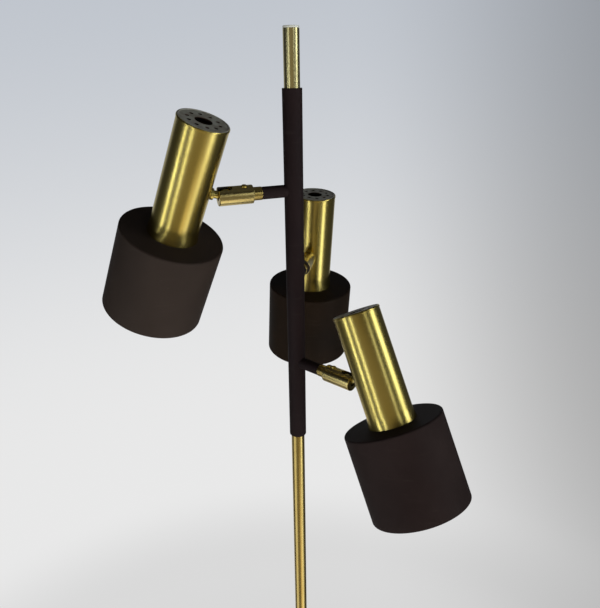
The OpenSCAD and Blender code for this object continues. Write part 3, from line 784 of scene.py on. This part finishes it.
barrel_brass = satin_brass("barrel_brass", BARREL_BRASS, BARREL_OLD)
barrel_painted_shade = plain_finish("barrel_painted_shade", CAVITY_PAINTED_SHADE, CAVITY_PAINTED_SHADE_DEEP, rough=0.6, per_m=300)
for light in LIGHTS:
    place = swivel_place(light)
    low, high = reach(light + "_barrel", place)
    barrel = turned([
        (BORE_R, low.z), (high.y, low.z), (high.y, high.z), (SLOT_R, high.z),
        (SLOT_R, high.z - LIP), (CAVITY_R, high.z - LIP), (CAVITY_R, CAVITY_BACK),
        (BORE_R, CAVITY_BACK),
    ], {1: BARREL_CHAMFER, 2: BARREL_CHAMFER})
    piece = put(light + "_slotted_barrel", barrel, place)
    upwards = place @ turn(math.radians(90), "Y")
    carve(piece, "slot", slot_cutter(high.z), upwards @ Matrix.Translation((SLOT_BACK, 0, 0)))
    screw = upwards @ Matrix.Translation((-low.z - SCREW_IN, 0, 0))
    carve(piece, "screw_hole", round_bar(SCREW_HOLE_R, 0, 2 * CAVITY_R), screw)
    carve(piece, "screw_seat", round_bar(SCREW_SEAT_R, SCREW_SEAT_X, 2 * CAVITY_R), screw)
    # painted shade: faces inside the barrel get the near-black finish
    home = place.inverted()
    for face in piece.data.polygons:
        middle = home @ face.center
        face.material_index = int(middle.xy.length < CAVITY_R + NEAR and middle.z < high.z - NEAR)
    edges = piece.modifiers.new("broken_edges", "BEVEL")
    edges.width = SLOT_EDGE
    edges.segments = 2
    edges.limit_method = "ANGLE"
    edges.angle_limit = SLOT_EDGE_FROM
    finish_piece(piece, place, light + "_swivel", "satin_brass", [light + "_barrel"],
                 barrel_brass, barrel_painted_shade)

# ---- Lamp housings ----
# Each is one spun brass can, brushed round and lacquered, open below and a little flared
# there, with a bead and a round shoulder above. Its sunk flat top is drilled with a large
# hole and a ring of small ones, and has gone dull and grey. Inside, the wall and the holes'
# walls are dark brown: painted shade.
BRASS = (0.63, 0.505, 0.150)
OLD_BRASS = (0.53, 0.395, 0.090)
BRUSH_TILT = 0.05
HOUSING_WALL = 0.001
CAN_STEPS = 128
SHOULDER_R = 0.0017
SHOULDER_STEPS = 10
BEAD_H = 0.0028
BEAD_OUT = 0.0004
DISC_R = 0.0234
DISC_DEEP = 0.0007
DULL_R = 0.0246
VENT_R = 0.0085
VENT_STEPS = 64
SMALL_VENT_R = 0.0020
SMALL_VENT_STEPS = 24
VENT_RING_R = 0.0155
VENTS = 10
RIM_EDGE = 0.00018
RIM_FROM = math.radians(60)
FLARE_OUT = 0.0014
FLARE_H = 0.014
FLARE_STEPS = 8
DULL_TOP = (0.49, 0.475, 0.40)
DULL_OLD = (0.35, 0.315, 0.25)
DULL_SHINE = 0.3
DULL_ROUGH = 0.52
DULL_CLOUDS_PER_M = 120
DULL_CLOUD_FADE = (0.35, 0.65)
SCUFFS_PER_M = 1500
SCUFF_ROUGH = 0.3
# painted shade: a dark brown finish for the can's inside and the walls of its holes, darker in
# clouds
CAN_INSIDE_PAINTED_SHADE = (0.150, 0.100, 0.073)
CAN_INSIDE_PAINTED_SHADE_DEEP = (0.052, 0.038, 0.031)


def head_place(light):
    """The frame of a lamp head: Z up the housing's axis from the stem's height."""
    tilt = joints[light + "_tilt"]
    lean = turn(-math.radians(tilt["range_deg"][0]), Vector(tilt["axis"])).to_3x3()
    ball = swivel_place(light)
    up = lean @ ball.col[0].xyz
    stem = lean @ ball.col[2].xyz
    place = framed(ball.translation, stem, up)
    low, high = reach(light + "_housing", place)
    return place @ Matrix.Translation(((low.x + high.x) / 2, 0, 0))


def dull_top():
    """Brass gone grey, brown in patches and scuffed, with little shine left."""
    finish = Finish("dull_vent_top")
    where = finish.node("TexCoord", output="Object")
    clouds = finish.between(finish.noise(where, DULL_CLOUDS_PER_M, detail=5), *DULL_CLOUD_FADE)
    scuffs = finish.noise(where, SCUFFS_PER_M, detail=3)
    return finish.done(finish.node("BsdfPrincipled", inputs={
        "Base Color": finish.blend(clouds, DULL_TOP, DULL_OLD),
        "Metallic": DULL_SHINE,
        "Roughness": DULL_ROUGH + (scuffs - 0.5) * SCUFF_ROUGH,
    }))


def spun_can(radius, low, high):
    """The can's outer skin: a flared wall with a bead, a round shoulder and the drilled top."""
    bm = bmesh.new()
    bead_r = radius + BEAD_OUT
    flare = [(radius + FLARE_OUT * (1 - k / FLARE_STEPS) ** 2, low + FLARE_H * k / FLARE_STEPS)
             for k in range(FLARE_STEPS + 1)]
    corners = [bm.verts.new((r, 0, z)) for r, z in flare + [
        (radius, high - BEAD_H), (bead_r, high - BEAD_H + BEAD_OUT),
        (bead_r, high), (DISC_R, high), (DISC_R - DISC_DEEP, high - DISC_DEEP)]]
    sides = [bm.edges.new(pair) for pair in zip(corners, corners[1:])]
    bmesh.ops.spin(bm, geom=corners + sides, cent=(0, 0, 0), axis=(0, 0, 1), angle=math.tau,
                   steps=CAN_STEPS, use_merge=True)
    shoulder = [edge for edge in bm.edges if all(
        abs(v.co.xy.length - bead_r) < NEAR and v.co.z > high - NEAR for v in edge.verts)]
    bmesh.ops.bevel(bm, geom=shoulder, offset=SHOULDER_R, offset_type="OFFSET",
                    affect="EDGES", segments=SHOULDER_STEPS, profile=0.5, material=-1)
    rims = [edge for edge in bm.edges if edge.is_boundary and edge.verts[0].co.z > 0]
    disc = Vector((0, 0, high - DISC_DEEP))
    out = Vector((VENT_RING_R, 0, 0))
    holes = [(VENT_R, VENT_STEPS, disc)] + [
        (SMALL_VENT_R, SMALL_VENT_STEPS, disc + turn(math.tau * (k + 0.5) / VENTS, "Z") @ out)
        for k in range(VENTS)]
    for hole_r, steps, middle in holes:
        ring = bmesh.ops.create_circle(bm, cap_ends=False, segments=steps, radius=hole_r,
                                       matrix=Matrix.Translation(middle))["verts"]
        rims += {edge for vert in ring for edge in vert.link_edges}
    bmesh.ops.triangle_fill(bm, use_beauty=True, edges=rims)
    bmesh.ops.recalc_face_normals(bm, faces=bm.faces)
    for face in bm.faces:
        face.material_index = int(face.calc_center_median().xy.length < DULL_R)
    return bm


housing_brass = satin_brass("housing_brass", BRASS, OLD_BRASS, tilt=BRUSH_TILT)
vent_top = dull_top()
can_painted_shade = plain_finish(
    "can_painted_shade", CAN_INSIDE_PAINTED_SHADE, CAN_INSIDE_PAINTED_SHADE_DEEP, rough=0.55, per_m=90, metallic=0.4)
for light in LIGHTS:
    place = head_place(light)
    low, high = reach(light + "_housing", place)
    piece = put(light + "_spun_housing", spun_can(high.y, low.z, high.z), place)
    wall = piece.modifiers.new("wall", "SOLIDIFY")
    wall.thickness = HOUSING_WALL
    wall.offset = -1
    wall.use_even_offset = True
    # painted shade: the inner skin and the cut walls take the dark brown inside finish
    wall.material_offset = 2
    wall.material_offset_rim = 2
    rim = piece.modifiers.new("rim", "BEVEL")
    rim.width = RIM_EDGE
    rim.segments = 2
    rim.limit_method = "ANGLE"
    rim.angle_limit = RIM_FROM
    finish_piece(piece, place, light + "_head", "satin_brass", [light + "_housing"],
                 housing_brass, vent_top, can_painted_shade, can_painted_shade)

# ---- Shades ----
# Spun steel cylinders, closed above but for the lampholder's hole, brown outside and white
# inside. The lampholder's ring clamps them below the housing. Each shade's brown carries painted
# light and shade: lighter on the left shade, darker on the right one, darkest and reddest on the
# rear one.
SHADE_WALL = 0.001
SHADE_HOLE_R = 0.0198
SHADE_EDGE = 0.002
SHADE_RIM = 0.0003
SHADE_STEPS = 160
SHADE_DUSTY = 0.25
# a face's middle that lies deeper than this in the wall is on the white side
WHITE_FROM = 0.6 * SHADE_WALL
# the same paint on each shade, plain and worn, with painted light and shade: lighter on the left,
# darker on the right, darkest and reddest at the rear
SHADE_BROWNS_LIT_AND_SHADED = {
    "rear": ((0.0120, 0.0062, 0.0028), (0.0230, 0.0120, 0.0055)),
    "left": ((0.0305, 0.0200, 0.0152), (0.0385, 0.0260, 0.0200)),
    "right": ((0.0182, 0.0100, 0.0088), (0.0265, 0.0160, 0.0142)),
}
ENAMEL = (0.82, 0.81, 0.77)
ENAMEL_OLD = (0.76, 0.73, 0.64)

white_enamel = plain_finish("white_enamel", ENAMEL, ENAMEL_OLD, rough=0.30, per_m=35)
for light in LIGHTS:
    place = head_place(light)
    low, high = reach(light + "_shade", place)
    inner_r = high.y - SHADE_WALL
    under = high.z - SHADE_WALL
    shade = turned([
        (SHADE_HOLE_R, under), (inner_r, under), (inner_r, low.z), (high.y, low.z),
        (high.y, high.z), (SHADE_HOLE_R, high.z),
    ], {1: SHADE_EDGE / 2, 2: SHADE_RIM, 3: SHADE_RIM, 4: SHADE_EDGE}, SHADE_STEPS)
    for face in shade.faces:
        middle = face.calc_center_median()
        inside = middle.xy.length < high.y - WHITE_FROM
        face.material_index = int(inside and middle.z < high.z - WHITE_FROM)
    piece = put(light + "_spun_shade", shade, place)
    # each shade's own copy of the paint, with its painted light or shade
    shade_paint = brown_paint(light + "_shade_paint", *SHADE_BROWNS_LIT_AND_SHADED[light], SHADE_DUSTY)
    finish_piece(piece, place, light + "_head", "brown_paint", [light + "_shade"],
                 shade_paint, white_enamel)

# ---- Bulbs ----
# Opal globe lamps with a nickel screw cap, held by the lampholder inside each shade.
GLASS_R = 0.030
GLASS_ARC = 37
ARC_STEPS = 20
CAP_R = 0.0132
NECK_R = 0.0142
CAP_LEN = 0.0247
CONTACT_R = 0.005
INSULATOR_H = 0.0025
OPAL = (0.90, 0.89, 0.85)
OPAL_OLD = (0.86, 0.84, 0.78)
NICKEL = (0.62, 0.60, 0.56)
NICKEL_OLD = (0.45, 0.42, 0.36)

opal_glass = plain_finish("opal_glass", OPAL, OPAL_OLD, rough=0.12, per_m=30, coat=0.4)
nickel = plain_finish("nickel", NICKEL, NICKEL_OLD, rough=0.28, per_m=90, metallic=1.0)
for light in LIGHTS:
    place = head_place(light)
    low, high = reach(light + "_bulb", place)
    middle = low.z + GLASS_R
    glass_top = high.z - CAP_LEN
    arc = [math.radians(-90 + (90 + GLASS_ARC) * k / ARC_STEPS) for k in range(ARC_STEPS + 1)]
    bulb = turned(
        [(GLASS_R * math.cos(angle), middle + GLASS_R * math.sin(angle)) for angle in arc] + [
            (NECK_R, glass_top), (CAP_R, glass_top), (CAP_R, high.z - INSULATOR_H),
            (CONTACT_R, high.z), (0, high.z)], {}, TUBE_STEPS)
    for face in bulb.faces:
        face.material_index = int(face.calc_center_median().z > glass_top - NEAR)
    piece = put(light + "_globe_bulb", bulb, place)
    finish_piece(piece, place, light + "_head", "opal_glass", [light + "_bulb"],
                 opal_glass, nickel)

# ---- Pieces that keep their constructed shape ----
# The stems, screws, nuts, rings, brackets and lampholders are shown as they are built, each
# in the finish of its own material.
CERAMIC = (0.80, 0.78, 0.72)
CERAMIC_OLD = (0.74, 0.71, 0.62)

small_brass = satin_brass("small_brass", BRASS, OLD_BRASS, rough=0.28)
glazed_ceramic = plain_finish(
    "glazed_ceramic", CERAMIC, CERAMIC_OLD, rough=0.22, per_m=45, coat=0.3)
KEPT = {
    "satin_brass": small_brass,
    "brown_paint": sleeve_paint,
    "steel": zinc_steel,
    "rubber": black_rubber,
    "pale_plastic": pale_plastic,
    "holder_ceramic": glazed_ceramic,
    "opal_glass": opal_glass,
}
for node in frame["nodes"].values():
    for slot in node.material_slots:
        slot.material = KEPT[slot.material.name]
